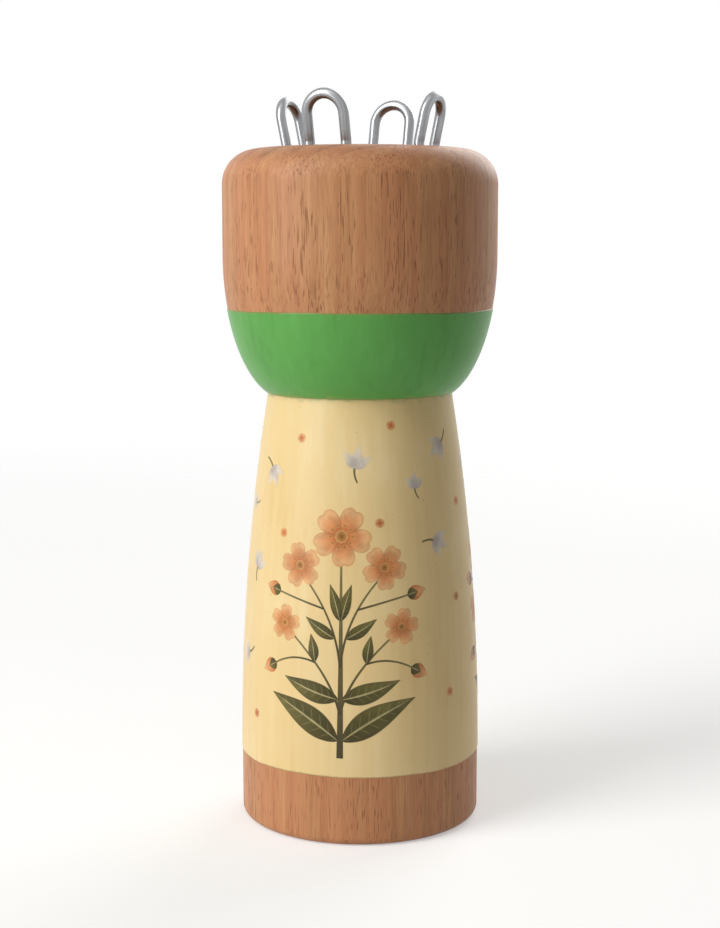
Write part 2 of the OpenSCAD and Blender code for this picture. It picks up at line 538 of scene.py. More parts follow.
def coat(name, radius_at, low, high, masked, material, slot):
    """A closed shell between two edges: the outer wall is a coat's thickness out, the inner is sunk.

    Each wall is a grid of heights by angles, with its rows crowded at both edges. At the masked edge,
    which is low or high, the thickness rises from nothing as a sine does, and a bell curve adds the bead
    behind it. The other edge is at the neck.
    """
    at_edge, between = np.linspace(0, 0.03, 16), np.linspace(0.05, 0.95, 44)
    share = np.concatenate([at_edge, between, 1 - at_edge[::-1]])
    height = low[None] + (high - low)[None] * share[:, None]
    to_edge = height - low[None] if masked == "low" else high[None] - height
    rise = np.sin(np.clip(to_edge / edge_rise, 0, 1) * math.pi / 2) ** 0.7
    bead = bead_share * np.exp(-(((to_edge - bead_at) / bead_w) ** 2))
    outer = turn(radius_at(height) + coat_t * (rise + bead), height, round_angle[None])
    inner = turn(radius_at(height) - coat_sink, height, round_angle[None])
    distances = {"to_edge": to_edge, "to_neck": (high - low)[None] - to_edge}
    for label, values in distances.items():
        distances[label] = np.minimum(np.concatenate([values, values[::-1]]), edge_reach)
    points = np.concatenate([outer, inner[::-1]])
    make_piece(name, points, quads(2 * len(share), SIDES, True, True), material, slot, **distances)


print(f"a coat rises to {coat_t} mm over {edge_rise} mm")

# %% [markdown]
# Sprayed paint looks even, but not flat: it has broad clouds, the grain shows through a little, a few
# specks of dust are caught in it, and its skin is slightly dimpled. These are shared by the green and the
# cream, and by the inks printed on the cream, so they are one group with three shades of a colour as its
# inputs.

# %% Paint film
dust = srgb(118, 94, 60)


def build_coat_film():
    """Colour, shade and height of a sprayed coat: clouds, grain, specks of dust and a dimpled skin."""
    tree, given, result = new_group(
        "coat_film", {"Place": "Vector", "Dark": "Color", "Middle": "Color", "Light": "Color"},
        {"Colour": "Color", "Shade": "Float", "Height": "Float"})
    place = given["Place"]
    figure = use(tree, wood_figure, {"Place": place})
    clouds = noise(tree, place, (0.07, 0.07, 0.05), detail=3.0)
    grain = noise(tree, place, (0.7, 0.7, 0.02), detail=3.0)
    shade = calc(tree, "MULTIPLY_ADD", clouds, 0.65, calc(tree, "MULTIPLY", grain, 0.35))
    colour = mix(tree, step(tree, shade, 0.32, 0.5), given["Dark"], given["Middle"])
    colour = mix(tree, step(tree, shade, 0.5, 0.68), colour, given["Light"])
    specks = step(tree, noise(tree, place, (1.7, 1.7, 1.7), detail=0.0), 0.84, 0.88)
    dimples = noise(tree, place, (0.9, 0.9, 0.9), detail=1.0)
    height = calc(tree, "MULTIPLY_ADD", figure["Height"], 0.3, calc(tree, "MULTIPLY", dimples, 0.5))
    fill(tree, result["Colour"], mix(tree, calc(tree, "MULTIPLY", specks, 0.25), colour, dust))
    fill(tree, result["Shade"], shade)
    fill(tree, result["Height"], calc(tree, "ADD", height, specks))
    return tree


coat_film = build_coat_film()


def laid_film(tree, place, shades):
    """The film in three shades of one colour."""
    return use(tree, coat_film, {"Place": place, **dict(zip(("Dark", "Middle", "Light"), shades))})


def satin(tree, shader, film, colour):
    """Gives a colour to the shader under a satin film, whose gloss wanders with its shade."""
    fill(tree, shader.inputs["Base Color"], colour)
    fill(tree, shader.inputs["Roughness"], calc(tree, "MULTIPLY_ADD", film["Shade"], 0.12, 0.32))
    shader.inputs["Specular IOR Level"].default_value = 0.3
    raise_surface(tree, shader, film["Height"], 0.012)


print("coat film:", len(coat_film.nodes), "nodes")

# %% [markdown]
# The collar is leaf green and the skirt is cream. Along a masked edge the paint gets thin and the wood
# tints it. At the neck, where the two turnings were pressed together, the cream has a faint smear of green,
# and the green is tinted faintly towards cream. The masks for both are distances, which each shell carries
# as numbers on its points. Edges could be found by height too, but that would not follow the wavering edge.

# %% Paint the collar and the skirt
collar_h = 14.6
green_shades = [srgb(90, 162, 72), srgb(100, 174, 82), srgb(108, 183, 90)]
cream_shades = [srgb(239, 206, 142), srgb(245, 215, 154), srgb(249, 223, 167)]
woody_tint = srgb(150, 104, 62)


def build_paint(name, shades, other, share):
    """Satin paint that gets thin and woody along a masked edge, with a share of another at the neck."""
    material, tree, shader, place = new_finish(name)
    film = laid_film(tree, place, shades)
    edge = calc(tree, "MULTIPLY_ADD", noise(tree, place, (1.2, 1.2, 1.2)), 0.4, read(tree, "to_edge"))
    colour = mix(tree, step(tree, edge, 0.2, 0.6, 0.6, 0.0), film["Colour"], woody_tint)
    smear = noise(tree, place, (0.5, 0.5, 1.2), detail=3.0)
    smear = calc(tree, "MULTIPLY_ADD", smear, 2.4, read(tree, "to_neck"))
    colour = mix(tree, step(tree, smear, 1.0, 1.9, share, 0.0), colour, other)
    satin(tree, shader, film, colour)
    return material


def coat_radius(height):
    """Radius of the skirt's wood at a height above the floor."""
    return skirt_radius(height - foot_h)


at_neck = np.full(SIDES, neck_z)
collar_top = at_neck + collar_h + waver(0.05)
coat_foot = foot_h + waver(0.07)
collar_green = build_paint("collar_green", green_shades, cream_shades[0], 0.15)
skirt_cream = build_paint("skirt_cream", cream_shades, green_shades[0], 0.3)
coat("collar_paint", cup_radius, at_neck, collar_top, "high", collar_green, "collar_paint")
coat("skirt_coat", coat_radius, coat_foot, at_neck, "low", skirt_cream, "skirt_print")

# %% [markdown]
# The skirt carries a small printed flower pattern, made up for this doll: upright posies with paired
# leaves. It could be a picture wrapped round the skirt. Drawn as meshes it stays sharp from any distance,
# and each motif can carry numbers for its own ink. A motif is drawn flat, as a grid of points in
# millimetres, and then laid round the skirt. Ink has hardly any thickness, so it stands a few hundredths
# of a millimetre proud. Its rims are marked sharp: otherwise the smooth shading would round them off and
# ink would look like dough.

# %% Lay flat drawings round the skirt
ink_t = 0.06

# How far each ink stands proud of the coat, from what is printed first to what is printed over it
ink_lift = {"stems": 0.010, "sprigs": 0.012, "dots": 0.014, "leaves": 0.016, "buds": 0.016,
            "calyxes": 0.022, "blossoms": 0.022, "stamens": 0.032, "hearts": 0.034}


def on_skirt(azimuth, x, y, lift):
    """Lays a flat drawing on the skirt: x runs round from an azimuth, and y runs up from the foot."""
    reach = skirt_radius(y) + coat_t + lift
    return turn(reach, foot_h + y, azimuth + x / reach)


def sharpen_rims(mesh):
    """Marks the edges that only one face uses as sharp."""
    used = np.empty(len(mesh.loops), dtype=np.int32)
    mesh.loops.foreach_get("edge_index", used)
    sharp = mesh.attributes.get("sharp_edge") or mesh.attributes.new("sharp_edge", "BOOLEAN", "EDGE")
    sharp.data.foreach_set("value", np.bincount(used) == 1)


def print_piece(name, azimuth, x, y, lift, material, **attributes):
    """One printed colour: copies of a flat grid laid on the skirt and given the thickness of ink."""
    count, rows, cols = x.shape
    points = on_skirt(np.reshape(azimuth, (-1, 1, 1)), x, y, lift)
    faces = copies(quads(rows, cols), count, rows * cols)
    attributes = {label: np.broadcast_to(values, x.shape) for label, values in attributes.items()}
    piece = make_piece(name, points, faces, material, "skirt_print", **attributes)
    sharpen_rims(piece.data)
    ink = piece.modifiers.new("ink", "SOLIDIFY")
    ink.thickness = ink_t * MM
    ink.offset = -1.0


print(f"motifs are laid on a skirt {2 * math.pi * skirt_radius(32):.1f} mm round")

# %% [markdown]
# Three flat shapes are enough for every motif, and this cell makes two of them. A leaf, a bud or a single
# petal is a grid from stalk to tip and from edge to edge. A flower could be a grid of radius by angle,
# but a square grid squeezed into a disc has no crowded point in its middle.

# %% Flat leaves and flowers
def placed(x, y, at_x, at_y, turned):
    """Turns a flat grid clockwise and moves it to a place. Several places make several copies."""
    at_x, at_y, turned = (np.reshape(value, (-1, 1, 1)) for value in (at_x, at_y, turned))
    across, up = np.cos(turned), np.sin(turned)
    return at_x + x * across + y * up, at_y - x * up + y * across


def leaf(length, width, curl):
    """A leaf, from its stalk to its tip and from edge to edge: a pointed oval bent along its midrib."""
    t, w = np.meshgrid(np.linspace(0, 1, 25), np.linspace(-1, 1, 9), indexing="ij")
    length, width, curl = (np.reshape(value, (-1, 1, 1)) for value in (length, width, curl))
    half = 0.04 + width / 2 * np.sin(math.pi * t**0.8) * (1 - 0.25 * t)
    return curl * length * t**2 + w * half, length * t - curl * w * half, t, w


def rosette(size, petals, dip, notch, cells):
    """A flower: a square grid squeezed to a disc that dips between petals and is nicked at their tips."""
    u, v = np.meshgrid(np.linspace(-1, 1, cells + 1), np.linspace(-1, 1, cells + 1), indexing="ij")
    rho, theta = np.maximum(abs(u), abs(v)), np.arctan2(v, u)
    gap = abs((theta * petals / math.pi + 1) % 2 - 1)
    reach = np.reshape(size, (-1, 1, 1)) * rho * (1 - dip * gap**3 - notch * np.exp(-((gap / 0.16) ** 2)))
    return reach * np.cos(theta), -reach * np.sin(theta), rho, gap


print("a leaf is a grid of", leaf(1.0, 0.5, 0.0)[0].shape[1:], "points")

# %% [markdown]
# The third shape is the stem: a ribbon along a curve that a third point pulls aside on its way from start
# to end. A Blender curve could be bevelled into one, but here its places and its direction are needed
# too, because other stems and leaves start from it.

# %% Flat stems
def along_curve(start, pull, end, t):
    """A place a share t along a curve: its three points weighed by (1 - t)^2, 2 t (1 - t) and t^2."""
    return (1 - t) ** 2 * start + 2 * t * (1 - t) * pull + t**2 * end


def stem(start, pull, end, wide, narrow):
    """A stem: a ribbon along such a curve, square to it, with a width that tapers."""
    t, w = np.meshgrid(np.linspace(0, 1, 33), np.linspace(-1, 1, 3), indexing="ij")
    a, b, c = (np.reshape(p, (-1, 1, 1, 2)) for p in (start, pull, end))
    share = t[None, ..., None]
    line = along_curve(a, b, c, share)
    way = (1 - share) * (b - a) + share * (c - b)
    way = way / np.linalg.norm(way, axis=-1, keepdims=True)
    half = w * (np.reshape(wide, (-1, 1, 1)) * (1 - t) + narrow * t) / 2
    return line[..., 0] + half * way[..., 1], line[..., 1] - half * way[..., 0], t


print("half way along a curve:", along_curve(np.zeros(2), np.array([0.0, 1.0]), np.ones(2), 0.5))

# %% [markdown]
# Printed flowers are not one flat colour: petals pale towards their rims and have fine veins. A pattern
# in space can't tell the heart of a petal from its rim. So each motif carries two numbers for every
# point, how far along it is and how far across, and its ink reads them. A cloudy noise on top gives the
# unevenness of watercolour. Where the ink runs thin, the coat's own cream comes through, from the same
# node group that paints the coat.

# %% Petal inks
def ink_surface(tree, shader, place, colour, cover):
    """Ink under the coat's satin film: clouded like watercolour, and thin where its cover is below 1."""
    clouds = noise(tree, place, (0.55, 0.55, 0.55), detail=3.0)
    colour = mix(tree, 1.0, colour, step(tree, clouds, 0.3, 0.7, 0.86, 1.1), "MULTIPLY")
    film = laid_film(tree, place, cream_shades)
    satin(tree, shader, film, mix(tree, cover, film["Colour"], colour))


def build_petal_ink(name, heart, body, rim, gap_colour, soft):
    """Petals: deep at the heart, pale towards the rim, veined, with a line between each two petals."""
    material, tree, shader, place = new_finish(name)
    along, gap = read(tree, "along"), read(tree, "across")
    colour = ramp(tree, along, (0.1, heart), (0.45, body), (0.88, rim), (1.0, body))
    petal = put(tree, "ShaderNodeCombineXYZ", {0: gap, 1: along, 2: 0.0}).outputs[0]
    veins = step(tree, noise(tree, petal, (9.0, 1.1, 1.0), detail=1.0), 0.5, 0.66, 0.0, 0.35)
    colour = mix(tree, calc(tree, "MULTIPLY", veins, step(tree, along, 0.9, 0.4)), colour, srgb(*heart))
    line = calc(tree, "MULTIPLY", step(tree, gap, 0.72, 0.98), step(tree, along, 0.15, 0.5))
    colour = mix(tree, calc(tree, "MULTIPLY", line, 0.75), colour, srgb(*gap_colour))
    ragged = calc(tree, "MULTIPLY_ADD", noise(tree, place, (1.1, 1.1, 1.1)), 0.5 * soft, along)
    cover = step(tree, ragged, 1.05 - soft, 1.0 + 0.25 * soft, 1.0, 1.0 - soft)
    ink_surface(tree, shader, place, colour, cover)
    return material


blossom_ink = build_petal_ink(
    "blossom_ink", heart=(194, 98, 44), body=(221, 147, 91), rim=(236, 178, 123),
    gap_colour=(190, 106, 58), soft=0.3)
sprig_ink = build_petal_ink(
    "sprig_ink", heart=(198, 184, 172), body=(222, 210, 196), rim=(234, 222, 204),
    gap_colour=(236, 212, 168), soft=0.5)
heart_ink = build_petal_ink(
    "heart_ink", heart=(150, 92, 40), body=(184, 124, 62), rim=(206, 150, 84),
    gap_colour=(184, 124, 62), soft=0.3)
print("inks:", blossom_ink.name, sprig_ink.name, heart_ink.name)

# %% [markdown]
# Leaves and stems share one palette of olive. A leaf has a light midrib, faint side veins, one half in
# shade and a dark edge, all from the two numbers that it carries: a vein is a saw of the distance along
# the leaf, held back towards the edges so that the veins slant. Veins could be thin meshes of their own,
# but as ink they need no faces.

# %% Leaf and stem inks
def build_leaf_ink():
    """Leaves: olive, darker at the stalk and along one half, with a pale midrib and faint side veins."""
    material, tree, shader, place = new_finish("leaf_ink")
    along, across = read(tree, "along"), read(tree, "across")
    aside = calc(tree, "ABSOLUTE", across)
    colour = ramp(tree, along, (0.0, (66, 58, 24)), (0.45, (97, 90, 42)), (1.0, (122, 112, 62)))
    colour = mix(tree, step(tree, across, -0.1, 0.1, 0.0, 0.45), colour, srgb(58, 52, 22))
    vein = calc(tree, "FRACT", calc(tree, "MULTIPLY_ADD", aside, -0.9, calc(tree, "MULTIPLY", along, 8.0)))
    inner = step(tree, aside, 0.55, 0.9, 0.4, 0.0)
    vein = calc(tree, "MULTIPLY", step(tree, vein, 0.0, 0.16, 1.0, 0.0), inner)
    colour = mix(tree, vein, colour, srgb(168, 156, 104))
    colour = mix(tree, step(tree, aside, 0.82, 1.0, 0.0, 0.6), colour, srgb(48, 42, 18))
    before_tip = step(tree, along, 0.75, 0.95, 1.0, 0.0)
    midrib = calc(tree, "MULTIPLY", step(tree, aside, 0.03, 0.12, 0.85, 0.0), before_tip)
    colour = mix(tree, midrib, colour, srgb(196, 182, 130))
    ink_surface(tree, shader, place, colour, step(tree, aside, 0.9, 1.0, 1.0, 0.8))
    return material


def build_stem_ink():
    """Stems: nearly black at the foot, and olive where they thin out."""
    material, tree, shader, place = new_finish("stem_ink")
    along = read(tree, "along")
    colour = ramp(tree, along, (0.0, (44, 38, 16)), (0.5, (84, 76, 40)), (1.0, (120, 112, 70)))
    ink_surface(tree, shader, place, colour, 0.95)
    return material


leaf_ink = build_leaf_ink()
stem_ink = build_stem_ink()
print("inks:", leaf_ink.name, stem_ink.name)

# %% [markdown]
# One posy is drawn as its middle and its right half, which is mirrored for the left. A Mirror modifier
# would do that for one posy, but not for three that face different ways. The side stems leave the main
# stem along its own direction, so that the joints look grown and not stuck on. Short stalks for the buds
# start a share of the way along them. Three posies stand round the skirt, the first a little right of the
# front.

# %% Draw the stems of the posies
posy_count = 3
posy_azimuth = math.radians(16) + 2 * math.pi / posy_count * np.arange(posy_count)


def mirrored(right, middle=()):
    """Rows of a drawing that start with x: the right side, its mirror image, and the middle."""
    right = np.array(right, dtype=float)
    flip = [-1.0] + [1.0] * (right.shape[1] - 1)
    return np.concatenate([right, right * flip, np.reshape(middle, (-1, right.shape[1]))])


def for_posies(values):
    """The same values once for each posy."""
    return np.concatenate([values] * posy_count)


def posy_piece(name, x, y, lift, material, **attributes):
    """One colour of the posy, printed at the azimuth of each posy."""
    azimuth = np.repeat(posy_azimuth, len(x))
    print_piece(name, azimuth, for_posies(x), for_posies(y), lift, material, **attributes)


# Side stems of the right half: start, pull and end, each as x and y
side_start, side_pull, side_end = np.array([
    [[0.0, 11.0], [0.0, 19.0]],
    [[1.6, 18.5], [0.8, 28.0]],
    [[10.0, 25.2], [7.0, 34.6]],
])
stalk_start = along_curve(side_start, side_pull, side_end, 0.6)
stalk_pull = stalk_start + [[3.8, 1.4], [3.4, 1.0]]
stalk_end = stalk_start + [[8.0, -0.9], [8.6, 2.2]]
main_start, main_pull, main_end = [[0.0, 3.5]], [[0.2, 21.0]], [[0.0, 39.0]]
x, y, along = stem(
    mirrored(np.vstack([side_start, stalk_start]), main_start),
    mirrored(np.vstack([side_pull, stalk_pull]), main_pull),
    mirrored(np.vstack([side_end, stalk_end]), main_end),
    wide=[0.46, 0.4, 0.34, 0.34] * 2 + [1.15], narrow=0.3)
posy_piece("print_stems", x, y, ink_lift["stems"], stem_ink, along=along)

# %% [markdown]
# Leaves and buds are rows of numbers: where the stalk is, how long and wide the leaf is, how far it turns
# from upright, and how much it curls. Each could be shaped by hand, but rows are easier to compare and to
# change. A mirrored leaf turns and curls the other way. A bud is a short leaf in the blossoms' ink with a
# shorter green one over its foot.

# %% Print leaves and buds
# x and y of the stalk, length, width, turn in degrees and curl, for the right half
leaf_rows = np.array([
    [0.3, 6.5, 14.5, 5.0, 52, 0.16],
    [0.3, 13.6, 10.5, 3.8, 78, -0.10],
    [4.5, 19.8, 4.8, 2.0, 4, 0.08],
    [0.9, 24.0, 6.2, 2.3, 64, -0.12],
    [0.1, 27.0, 6.4, 2.1, 13, 0.05],
])
bud_way = stalk_end - stalk_pull
bud_turn = np.degrees(np.arctan2(bud_way[:, 0], bud_way[:, 1]))
bud_l = 3.6


def leaves(rows):
    """Leaves on the right half and their mirror images."""
    side = np.repeat([1.0, -1.0], len(rows))
    base_x, base_y, length, width, lean, curl = np.tile(rows, (2, 1)).T
    x, y, along, across = leaf(length, width, curl * side)
    return *placed(x, y, base_x * side, base_y, np.radians(lean) * side), along, across


def at_stalks(length, width):
    """Rows of leaves that sit on the ends of the bud stalks and point along them."""
    return np.array([[*end, length, width, turned, 0.0] for end, turned in zip(stalk_end, bud_turn)])


x, y, along, across = leaves(leaf_rows)
posy_piece("print_leaves", x, y, ink_lift["leaves"], leaf_ink, along=along, across=across)
x, y, along, across = leaves(at_stalks(bud_l, 2.7))
posy_piece("print_buds", x, y, ink_lift["buds"], blossom_ink, along=along, across=abs(across))
x, y, along, across = leaves(at_stalks(2.0, 2.2))
posy_piece("print_calyxes", x, y, ink_lift["calyxes"], leaf_ink, along=along, across=across)

# %% [markdown]
# Blossoms have five notched petals, a round heart and a ring of stamens. They get smaller from the middle
# outwards, and each is turned by its own angle, which keeps the mirrored halves from looking stamped.
# Hearts and stamens could be part of the petals' ink, but as meshes of their own they have crisp rims.

# %% Print the blossoms
def flowers(name, azimuth, at_x, at_y, turned, lift, material, **shape):
    """Rosettes at several places, with the numbers that their ink needs."""
    x, y, along, across = rosette(**shape)
    x, y = placed(x, y, at_x, at_y, turned)
    print_piece(name, azimuth, x, y, lift, material, along=along, across=across)


# x, y and radius
blossom_rows = mirrored([[7.4, 36.0, 3.9], [10.5, 25.9, 3.2]], [[0.0, 41.2, 5.2]])
blossom_azimuth = np.repeat(posy_azimuth, len(blossom_rows))
blossom_x, blossom_y, blossom_r = for_posies(blossom_rows).T
blossom_turn = 0.9 * blossom_x + 0.31 * blossom_y
blossom_places = (blossom_azimuth, blossom_x, blossom_y, blossom_turn)
flowers("print_blossoms", *blossom_places, ink_lift["blossoms"], blossom_ink,
        size=blossom_r, petals=5, dip=0.42, notch=0.07, cells=30)
flowers("print_hearts", *blossom_places, ink_lift["hearts"], heart_ink,
        size=0.22 * blossom_r, petals=9, dip=0.12, notch=0.0, cells=14)

stamen_count = 10
stamen_angle = np.tile(2 * math.pi / stamen_count * np.arange(stamen_count), len(blossom_r))
stamen_azimuth, stamen_x, stamen_y, stamen_blossom = (
    np.repeat(values, stamen_count) for values in (blossom_azimuth, blossom_x, blossom_y, blossom_r))
stamen_reach = 0.36 * stamen_blossom
flowers("print_stamens", stamen_azimuth, stamen_x + stamen_reach * np.cos(stamen_angle),
        stamen_y + stamen_reach * np.sin(stamen_angle), stamen_angle, ink_lift["stamens"], heart_ink,
        size=0.055 * stamen_blossom, petals=3, dip=0.0, notch=0.0, cells=4)

# %% [markdown]
# Small pale sprigs and dots fill the ground between the posies, as on printed cotton. They could be
# placed by hand or at random. The golden angle is used instead: it spreads points evenly round a stem, as
# plants spread their leaves, and gives the same places on each run. A posy is taken as a few round
# patches, one over each blossom, bud and leaf and two over the stems, and what would touch any of them is
# left out.

# %% Find room on the ground
golden = math.pi * (3 - math.sqrt(5))
ground_low, ground_tall = 4.5, 55.5
ground_clearance = 0.7
seed_count = 72
seeds = np.arange(seed_count)
# Large sprigs, small sprigs and dots take turns
kind = seeds % 3
ground_r = np.array([3.3, 2.5, 0.8])[kind]
ground_azimuth = seeds * golden
ground_turn = 1.3 * seeds
ground_y = ground_low + ground_tall * (seeds + 0.5) / seed_count

leaf_turn = np.radians(leaf_rows[:, 4])
leaf_way = np.stack([np.sin(leaf_turn), np.cos(leaf_turn)], axis=-1)
leaf_middle = leaf_rows[:, :2] + leaf_rows[:, 2:3] / 2 * leaf_way
patches = np.vstack([
    blossom_rows,
    mirrored(np.column_stack([leaf_middle, leaf_rows[:, 2] / 2])),
    mirrored(np.column_stack([stalk_end, [bud_l, bud_l]])),
    [[0.0, 18.0, 10.0], [0.0, 31.0, 9.0]],
])
to_posy = (ground_azimuth[:, None] - posy_azimuth[None] + math.pi) % (2 * math.pi) - math.pi
round_x = to_posy * skirt_radius(ground_y)[:, None]
apart = np.hypot(round_x[..., None] - patches[:, 0], ground_y[:, None, None] - patches[:, 1])
clear = (apart > patches[:, 2] + ground_r[:, None, None] + ground_clearance).all(axis=(1, 2))
sprig, dot = clear & (kind < 2), clear & (kind == 2)
print(sprig.sum(), "sprigs and", dot.sum(), "dots")

# %% [markdown]
# A sprig is three pale petals fanned out from one point, on a short stalk that bends aside. It is drawn
# once at a size of 1 and tossed: each copy has its own size and its own turn. Linked copies of one object
# would be lighter, but the skirt bends every sprig a little differently. The middle petal lies a hair
# above the other two, because surfaces in exactly the same place would flicker in the render.

# %% Print the ground
def for_sprigs(values):
    """The same values once for each sprig."""
    return np.tile(values, (sprig.sum(), 1, 1))


def tossed(unit_x, unit_y):
    """Copies of a drawing of size 1 at every sprig: their azimuths, and their x and y."""
    parts = len(unit_x)
    azimuth, size, at_y, turned = (
        np.repeat(values[sprig], parts) for values in (ground_azimuth, ground_r, ground_y, ground_turn))
    x, y = (for_sprigs(unit) * size[:, None, None] for unit in (unit_x, unit_y))
    return azimuth, *placed(x, y, 0.0, at_y, turned)


x, y, along = stem([[0.0, -0.2]], [[0.0, -0.6]], [[0.3, -0.95]], wide=0.13, narrow=0.08)
azimuth, x, y = tossed(x, y)
print_piece("print_sprig_stalks", azimuth, x, y, ink_lift["stems"], stem_ink, along=1 - 0.4 * along)

x, y, along, across = leaf([1.0, 1.15, 1.0], [0.5, 0.52, 0.5], [-0.14, 0.0, 0.14])
x, y = placed(x, y, 0.0, -0.25, np.radians([-38, 0, 38]))
hair = 0.006
petal_lift = ink_lift["sprigs"] + hair * np.array([0, 1, 0])[:, None, None]
azimuth, x, y = tossed(x, y)
print_piece("print_sprigs", azimuth, x, y, for_sprigs(petal_lift), sprig_ink,
            along=along, across=abs(across))

flowers("print_dots", ground_azimuth[dot], 0.0, ground_y[dot], ground_turn[dot], ink_lift["dots"],
        blossom_ink, size=ground_r[dot], petals=4, dip=0.02, notch=0.0, cells=10)

# %% [markdown]
# Each hook is one length of bright steel wire, bent into a staple: two pointed legs go down into the
# head, and above the wood the wire leans outwards so that the yarn doesn't slip off. Its middle line
# could be drawn as a Blender curve. It is worked out instead from the sizes that a wire bender would set:
# the width, the lean and the bend of the knee, with the tip and the crown as high as the solid's.

# %% Bend the wire
wire_r = 0.9
point_r = 0.15
point_l = 2.5
hook_w = 6.8
hook_lean = math.radians(12)
knee_r = 2.4
hook_low, hook_high = node_box("hook_1")
tip_z, crown_z = hook_low[2] - top_z, hook_high[2] - top_z


def hook_path():
    """Middle line of a hook, with Y outwards: up a leg, round the knee, up the lean, and over the crown.

    The left half is worked out and mirrored for the right. Above the knee the line runs in a leaning plane.
    """
    knee_z = wire_r - knee_r * math.tan(hook_lean / 2)
    point = tip_z + np.linspace(0, point_l, 7)
    leg_z = np.concatenate([point, np.linspace(tip_z + point_l, knee_z, 9)[1:-1]])
    leg = np.stack([0 * leg_z, leg_z], axis=-1)
    bend = np.linspace(0, hook_lean, 9)
    knee = np.stack([knee_r * (1 - np.cos(bend)), knee_z + knee_r * np.sin(bend)], axis=-1)
    lean = np.array([math.sin(hook_lean), math.cos(hook_lean)])
    straight = (crown_z - wire_r - knee[-1, 1]) / lean[1] - hook_w / 2
    rise = knee[-1] + np.linspace(0, straight, 10)[1:, None] * lean
    flat = np.concatenate([leg, knee, rise])
    left = np.column_stack([np.full(len(flat), -hook_w / 2), flat])
    over = np.linspace(math.pi, 0, 37)[1:-1]
    arch = rise[-1] + hook_w / 2 * np.sin(over)[:, None] * lean
    crown = np.column_stack([hook_w / 2 * np.cos(over), arch])
    right = (left * [-1, 1, 1])[::-1]
    return np.concatenate([left, crown, right])


path = hook_path()
print(f"each hook takes {np.linalg.norm(np.diff(path, axis=0), axis=1).sum():.1f} mm of wire")

# %% [markdown]
# A curve with a bevel would give the wire its thickness, but not its cut points. So a circle is carried
# along the path, with a radius that may change on the way, and at each place it stands square to the
# wire.

# %% Carry a circle along the wire
WIRE_RING = 28


def sweep(path, radius, ring):
    """Circles carried along a path, and for each point its sine, cosine and distance along the wire.

    Each circle lies on two directions square to the tangent: one is the hook's outward face, made square to
    the tangent, and the other is their cross product.
    """
    tangent = np.gradient(path, axis=0)
    tangent /= np.linalg.norm(tangent, axis=1, keepdims=True)
    facing = np.array([0, math.cos(hook_lean), -math.sin(hook_lean)])
    normal = facing - (tangent @ facing)[:, None] * tangent
    normal /= np.linalg.norm(normal, axis=1, keepdims=True)
    side = np.cross(tangent, normal)
    a = np.linspace(0, 2 * math.pi, ring, endpoint=False)[None]
    out = np.cos(a)[..., None] * normal[:, None] + np.sin(a)[..., None] * side[:, None]
    steps = np.linalg.norm(np.diff(path, axis=0), axis=1)
    distance = np.concatenate([[0], np.cumsum(steps)])[:, None]
    drawn = np.stack(np.broadcast_arrays(np.cos(a), np.sin(a), distance), axis=-1)
    return path[:, None] + radius[:, None, None] * out, drawn


to_tip = np.minimum(path[:, 2] - tip_z, point_l) / point_l
hook_points, hook_drawn = sweep(path, point_r + (wire_r - point_r) * to_tip, WIRE_RING)
print("a hook has", len(path), "circles of", WIRE_RING, "points")

# %% [markdown]
# Wire is drawn through a die, which leaves long fine scratches along it. They follow the wire round its
# bends, so their noise reads the numbers that the sweep stored on the points, and not a place in space.

# %% Bright wire
def build_bright_wire():
    """Drawn steel: faint scratches along the wire, and a gloss that is dulled in patches."""
    material, tree, shader, place = new_finish("bright_wire")
    along = put(tree, "ShaderNodeAttribute", attribute_name="drawn").outputs["Vector"]
    scratches = noise(tree, along, (4.0, 4.0, 0.15), detail=3.0, roughness=0.6)
    dull = noise(tree, place, (0.8, 0.8, 0.8), detail=3.0)
    colour = ramp(tree, scratches, (0.3, (130, 131, 133)), (0.55, (152, 153, 155)), (0.75, (170, 171, 172)))
    fill(tree, shader.inputs["Base Color"], colour)
    shader.inputs["Metallic"].default_value = 1.0
    fill(tree, shader.inputs["Roughness"], calc(tree, "MULTIPLY_ADD", dull, 0.2, 0.2))
    return material


bright_wire = build_bright_wire()
print("finish:", bright_wire.name)

# %% [markdown]
# All hooks are the same wire turned to their seats round the bore. They could be turned as objects, but
# here every piece sits at the origin and keeps its place in its mesh, as the solids do. A hook's own X
# runs round the head, its Y runs outwards and its Z up, so the three directions of a seat carry every
# point of the wire there at once.

# %% Set the hooks
hook_ring_r = 12.6
hook_names = [name for name in frame["nodes"] if name.startswith("hook_")]
hook_seats = math.pi + 2 * math.pi / len(hook_names) * np.arange(len(hook_names))
hook_faces = quads(len(path), WIRE_RING, False, True)
first_cap = np.arange(WIRE_RING)[::-1]
last_cap = (len(path) - 1) * WIRE_RING + np.arange(WIRE_RING)
for name, seat in zip(sorted(hook_names), hook_seats):
    round_head, outwards = [math.cos(seat), math.sin(seat), 0], [-math.sin(seat), math.cos(seat), 0]
    seated = (hook_points + [0, hook_ring_r, top_z]) @ np.array([round_head, outwards, [0, 0, 1]])
    wire = make_piece(name.replace("hook", "hook_wire"), seated, hook_faces, bright_wire, "hook_wire",
                      (first_cap, last_cap), drawn=hook_drawn)
    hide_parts(name)

# %% [markdown]
# Where a leg was driven in, the wood is pushed up into a small ragged rim. A bump in the wood's finish
# would be too soft for it, so each rim is a low ring round a leg, half sunk in the wood. Its height and
# width vary on the way round, and all the rims are worked out together as one mesh.

# %% Rims of lifted fibres
rim_gap, rim_w, rim_h = 0.2, 0.26, 0.13


